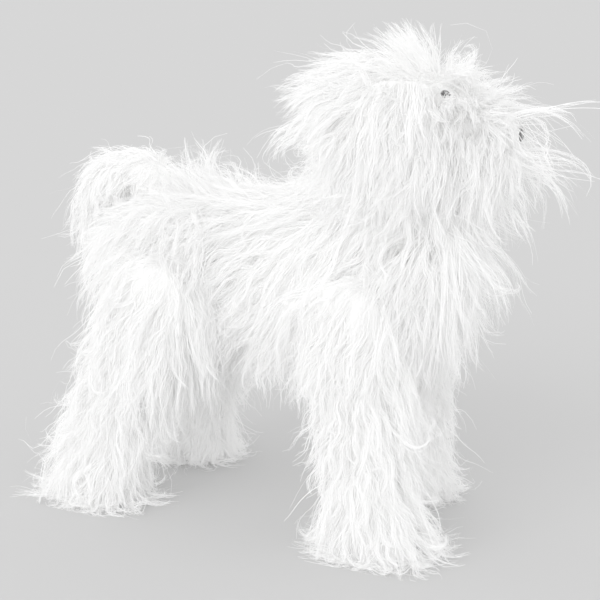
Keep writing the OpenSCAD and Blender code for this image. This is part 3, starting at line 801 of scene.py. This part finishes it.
def head_style(p, n):
    """Back over the crown, up at the brow and the top knot, down and out at the cheeks."""
    s, t, z = to_head(p).T
    c = len(p)
    cs, sn = math.cos(HEAD_TURN), math.sin(HEAD_TURN)
    nh = np.stack([n[:, 0] * cs + n[:, 1] * sn, -n[:, 0] * sn + n[:, 1] * cs, n[:, 2]], -1)
    out = np.clip(t / 16.0, -1, 1)
    top = ease(nh[:, 2], 0.3, 0.85)
    low = ease(-z, -322, -296)
    back = ease(-nh[:, 0], 0.35, 0.8)
    face = ease(s, 30, 46)
    brow = ease(s, 14, 24) * (1 - ease(s, 52, 64)) * ease(nh[:, 2], 0.05, 0.5)
    face = face * (1 - brow)
    tuft = ease(s, 0, 6) * (1 - ease(s, 14, 22)) * ease(nh[:, 2], 0.7, 0.9) * (np.abs(t) < 16)
    lie = vec(-0.95, 0.30 * out, -0.10 - 0.50 * (1 - top), c)
    lie = blend(lie, vec(-0.55, 0.40 * out, -0.85, c), low * (1 - back))
    lie = blend(lie, vec(-0.90, 0.30 * out, -0.35 - 0.5 * low, c), back)
    lie = blend(lie, vec(-0.25, 0.35 * out, 1.0, c), tuft)
    snout = vec(-0.60 + 0.50 * ease(s, 56, 68), 0.60 * out, -0.85, c)
    snout = blend(snout, vec(-0.15, 0.95 * out, -0.30, c), ease(nh[:, 2], 0.2, 0.8))
    snout = blend(snout, vec(0.45, 0.35 * out, -0.90, c), ease(-nh[:, 2], 0.2, 0.8))
    lie = blend(lie, snout, face)
    lie = blend(lie, vec(0.35, 0.75 * out, 0.45, c), brow)
    near_nose = face * (1 - ease(np.linalg.norm(p - NOSE_AT, axis=1), 13, 30)) * ease(z, 298, 306)
    length = 64 - 2 * low - 16 * back - 8 * back * low
    length = length * (1 - tuft) + 46 * tuft
    length = length * (1 - face) + (68 - 14 * ease(nh[:, 2], 0.2, 0.8)) * face
    length = length * (1 - brow) + 46 * brow - 22 * near_nose
    bridge = face * ease(nh[:, 2], 0.2, 0.8)
    cheek = ease(s, 4, 20) * (1 - ease(s, 48, 60)) * ease(-z, -325, -305)
    lift = (0.26 + 0.34 * brow + 0.50 * tuft + 0.22 * face + 0.06 * back - 0.12 * near_nose
            - 0.20 * bridge + 0.18 * cheek)
    droop = (0.28 + 0.20 * (1 - top) * (1 - back) - 0.20 * tuft + 0.16 * face + 0.10 * low
             - 0.10 * brow)
    height = 9.0 - 1 * top + 3 * brow + 3 * face - 5 * bridge + 7 * cheek - 3 * back
    return dict(lie=from_head(lie, place=False), length=length, lift=lift, height=height,
                droop=droop, hook=0.36 - 0.25 * tuft, wave=0.44 - 0.2 * tuft,
                swirl=0.42 - 0.1 * face, wide=3.4)


def leg_style(p, n, axis_x, slant, reach, bushy, trail):
    """reach and trail: how far the hair may lean forward and back. bushy: how far the lower leg
    fluffs out."""
    x, y, z = p.T
    c = len(p)
    side = np.sign(y)
    axis = axis_x + slant * (z - 10)
    outx = np.clip((x - axis) / 24.0, -trail, reach)
    outy = n[:, 1]
    foot = 1 - ease(z, 10, 60)
    hip = ease(z, 140, 185)
    shin = bushy * (1 - ease(z, 90, 150))
    lie = vec(slant * -1.0 + (0.30 + 0.45 * shin) * outx, 0.15 * outy, -1.0, c)
    lie = blend(lie, vec(outx * 0.7, 0.6 * outy, -0.95, c), foot)
    lie = blend(lie, vec(-0.45, 0.10 * side, -0.95, c), hip)
    behind = ease(-n[:, 0], 0.3, 0.8) * ease(z, 70, 120)
    ahead = ease(x - axis, 4, 18)
    thigh = bushy * ahead * ease(z, 60, 90) * (1 - ease(z, 160, 190))
    ahead = ahead * (1 - bushy)
    fluff = np.maximum(shin * ease(z, 4, 30), thigh)
    length = 60 - 12 * foot + 8 * hip - 8 * behind - 16 * ahead * (1 - hip) + 8 * fluff
    lift = 0.28 + 0.08 * foot - 0.14 * hip - 0.10 * behind + 0.18 * fluff - 0.10 * ahead
    height = 9.0 - 4 * hip - 4 * behind + 3 * fluff + 3 * thigh
    hook = 0.36 + 0.45 * foot + 0.35 * shin * (outx > 0.2)
    return dict(lie=lie, length=length, lift=lift, height=height, droop=0.50 - 0.10 * foot,
                hook=hook, wave=0.44 + 0.15 * foot, swirl=0.52, wide=3.8)


def tail_style(p, n):
    """To both sides of the curl, longer where it hangs below it."""
    x, y, _ = p.T
    c = len(p)
    root = 1 - ease(-x, 116, 134)
    tip = ease(-x, 150, 186)
    lean = np.clip(y / 10.0, -1, 1)
    low = ease(-n[:, 2], -0.1, 0.6)
    inner = low * (1 - root) * (1 - tip)
    lie = vec(-0.9, 0.55 * lean, -0.15 - 0.60 * np.abs(lean), c)
    lie = blend(lie, vec(-0.12, 0.45 * lean, -1.0, c), np.maximum(low * (1 - root), tip))
    lie = blend(lie, vec(0.10, 1.0 * lean, -0.25, c), root)
    hang = np.maximum(low * (1 - root), tip)
    length = 38 + 24 * hang - 6 * root
    return dict(lie=lie, length=length, lift=0.22 - 0.10 * tip + 0.25 * inner,
                height=4.0 - 1 * tip + 5 * inner, droop=0.60 + 0.35 * tip,
                hook=0.42, wave=0.46, swirl=0.6, wide=3.6)


def ear_style(p, n):
    """Straight down the flap."""
    c = len(p)
    lie = from_head(vec(-0.18, 0.0, -1.0, c), place=False)
    return dict(lie=lie, length=64, lift=0.22, height=5.5, droop=0.8, hook=0.25, wave=0.34,
                swirl=0.35, wide=3.4)


def full(st, c):
    """Every value of a style as an array."""
    return {k: (v if np.ndim(v) else np.full(c, float(v))) for k, v in st.items()}


def more_on_top(p, n):
    return 1 + 1.5 * np.clip(n[..., 2], 0, 1) ** 2


def more_at_seam(p, n):
    return 1 + 3.0 * np.exp(-np.maximum(350 - p[..., 2], 0) / 9.0)


def coat(name, grid, body, slot, styler, hidden=None, *, locks, parts=1, hairs=20,
         weight=more_on_top):
    """Fur over one skin, cut into parts so that no piece is too heavy. Hidden roots get none."""
    rng = np.random.default_rng(sum(map(ord, name)))
    p, n = sample(grid, locks, rng, weight)
    _, nor = nearest(p)
    n = unit(n * np.sign((n * nor).sum(-1, keepdims=True) + 1e-9))
    ok = np.ones(len(p), bool)
    if body == "head":
        for at, _ in EYES:
            ok &= np.linalg.norm(p - at, axis=1) > EYE_BARE
        ok &= np.linalg.norm(p - NOSE_AT, axis=1) > NOSE_BARE
    if hidden is not None:
        ok &= ~hidden(p)
    p, n = p[ok], n[ok]
    st = full(styler(p, n), len(p))
    order = np.argsort(p[:, 2 if name.startswith("leg") else 0])
    for i, chunk in enumerate(np.array_split(order, parts)):
        part = f"fur_{name}_{i + 1}" if parts > 1 else f"fur_{name}"
        fur(part, p[chunk], n[chunk], {k: v[chunk] for k, v in st.items()}, body, hairs,
            rng)


def under_legs(p):
    """The patches of trunk that the tops of the legs sit on."""
    x, y, z = p.T
    hid = np.zeros(len(p), bool)
    for lx, lz in (SHOULDER, HIP):
        hid |= (np.abs(x - lx) < 22) & (z < lz + 16) & (z > lz - 45) & (np.abs(y) > 30)
    return hid


def leg_bare(p):
    """Leg skin that lies on the trunk, and most of the round top, which the body's own coat
    falls over."""
    _, y, z = p.T
    against = (np.abs(y) < 42.5) & (z > 140) & (z < LEG_TOP)
    return against | ((z > LEG_TOP) & (wobble(p, 3.0, 19) > -0.3))


def under_ears(p):
    """Most of the head skin below an ear flap."""
    s, t, z = to_head(p).T
    covered = (np.abs(s + 10) < 17) & (np.abs(t) > 26) & (z < 344) & (z > 296)
    return covered & (wobble(p, 3.0, 17) > -0.35)


coat("body_side_left", *SKINS["body_side_left"], "fur_body", trunk_style, under_legs,
     locks=620, parts=2)
coat("body_side_right", *SKINS["body_side_right"], "fur_body", trunk_style, under_legs,
     locks=680, parts=2)
for name in ("left", "right"):
    coat("cape_" + name, *SKINS["body_side_" + name], "fur_body", cape_style, off_cape,
         locks=980)
coat("belly_panel", *SKINS["belly_panel"], "fur_body", trunk_style, locks=220)
coat("head_side_left", *SKINS["head_side_left"], "fur_head", head_style, under_ears,
     locks=260)
coat("head_side_right", *SKINS["head_side_right"], "fur_head", head_style, under_ears,
     locks=310)
coat("head_gusset", *SKINS["head_gusset"], "fur_head", head_style, under_ears, locks=340)
coat("muzzle_panel", *SKINS["muzzle_panel"], "fur_head", head_style, locks=240)
# the far legs are thinner and lean less, so that the near ones stand clear of them
for leg, (rows, side, back) in LEGS.items():
    front = leg.startswith("front")
    axis_x = rows[1][1] - back
    slant = (rows[8][1] - axis_x) / 190.0
    near = 1.1 if side < 0 else 0.95
    reach = 0.0 if side > 0 else (0.4 if front else 0.3)
    bushy = 0.1 if side > 0 else 1.0
    trail = 0.5 if front else 1.2
    for part, locks in (("outer", 300), ("inner", 215)):
        coat(f"leg_{leg}_{part}", *SKINS[f"leg_{leg}_{part}"], "fur_leg",
             lambda p, n: leg_style(p, n, axis_x, slant, reach, bushy, trail), leg_bare,
             locks=int(locks * near))
coat("tail_cover", *SKINS["tail_cover"], "fur_tail", tail_style, locks=230)
for name in EARS:
    coat("ear_" + name, closed(EARS[name]), "ear_" + name, "fur_ear", ear_style, locks=150,
         weight=more_at_seam)


def whisker_style(p, n):
    """Sparse long strands forward and out from the muzzle."""
    _, t, z = to_head(p).T
    c = len(p)
    out = np.clip(t / 12.0, -1, 1)
    up = ease(z, 298, 314)
    lie = from_head(vec(0.95, 0.55 * out, -0.55 + 0.85 * up, c), place=False)
    return dict(lie=lie, length=92, lift=0.34, height=6.0, droop=0.50 + 0.10 * up, hook=0.40,
                wave=0.22, swirl=0.8, wide=2.6)


def off_snout(p):
    """Head skin behind or in front of the band that carries the whiskers."""
    s = to_head(p)[:, 0]
    return (s < 46) | (s > 71)


for node in ("head_side_left", "head_side_right", "head_gusset", "muzzle_panel"):
    coat("whiskers_" + node.replace("head_", ""), *SKINS[node], "fur_head", whisker_style,
         off_snout, locks=80, hairs=7)


# ---------------------------------------------------------------- stage
FLOOR_GREY = 0.478
TENT_SIDES, TENT_TOP = 1.42, 0.58     # world strength at the horizon and overhead


def floor_material():
    m, _, b = material("studio_floor")
    put(b.inputs["Base Color"], (FLOOR_GREY, FLOOR_GREY, FLOOR_GREY, 1))
    put(b.inputs["Roughness"], 1.0)
    put(b.inputs["Specular IOR Level"], 0.0)
    return m


bpy.ops.mesh.primitive_plane_add(size=60, location=(0, 0, 0))
floor = bpy.context.object
floor.name = "studio_floor"
floor.data.materials.append(floor_material())

world = bpy.data.worlds.new("studio")
bpy.context.scene.world = world
world.use_nodes = True
# a white tent: brightest round the sides, softer overhead
tree = world.node_tree
put(tree.nodes["Background"].inputs["Color"], (1.0, 1.0, 1.0, 1))
where = tree.nodes.new("ShaderNodeTexCoord")
split = tree.nodes.new("ShaderNodeSeparateXYZ")
tree.links.new(where.outputs["Generated"], split.inputs[0])
fade = tree.nodes.new("ShaderNodeMapRange")
for socket, value in (("From Min", 0.0), ("From Max", 1.0), ("To Min", TENT_SIDES),
                      ("To Max", TENT_TOP)):
    put(fade.inputs[socket], value)
tree.links.new(split.outputs["Z"], fade.inputs["Value"])
tree.links.new(fade.outputs["Result"], tree.nodes["Background"].inputs["Strength"])


def sun(name, azimuth, height, strength, angle):
    """A sun lamp, angles in degrees, the azimuth from the part's right side to its front."""
    light = bpy.data.lights.new(name, "SUN")
    light.energy = strength
    light.angle = math.radians(angle)
    o = bpy.data.objects.new(name, light)
    bpy.context.scene.collection.objects.link(o)
    a, e = math.radians(azimuth), math.radians(height)
    way = Vector((math.sin(a) * math.cos(e), -math.cos(a) * math.cos(e), math.sin(e)))
    o.rotation_mode = "QUATERNION"
    o.rotation_quaternion = way.to_track_quat("Z", "Y")


sun("key", azimuth=-4, height=24, strength=1.45, angle=60)

CAM_AZ = math.radians(27.4)               # from the part's right side towards its front
CAM_R, CAM_Z, AIM_Z = 1.3, 0.522, 0.169   # in m: away, up, and the height it looks at
CAM_LENS = 103.9
camera = bpy.data.cameras.new("camera")
camera.lens = CAM_LENS
camera.sensor_width = 36
camera.clip_end = 100
cam = bpy.data.objects.new("camera", camera)
bpy.context.scene.collection.objects.link(cam)
cam.location = (math.sin(CAM_AZ) * CAM_R, -math.cos(CAM_AZ) * CAM_R, CAM_Z)
cam.rotation_mode = "QUATERNION"
cam.rotation_quaternion = (Vector((0, 0, AIM_Z)) - cam.location).to_track_quat("-Z", "Y")
bpy.context.scene.camera = cam

view = bpy.context.scene.view_settings
view.view_transform = "Standard"
view.look = "None"
view.gamma = 1.8
bpy.context.scene.cycles.max_bounces = 32
bpy.context.scene.cycles.diffuse_bounces = 28
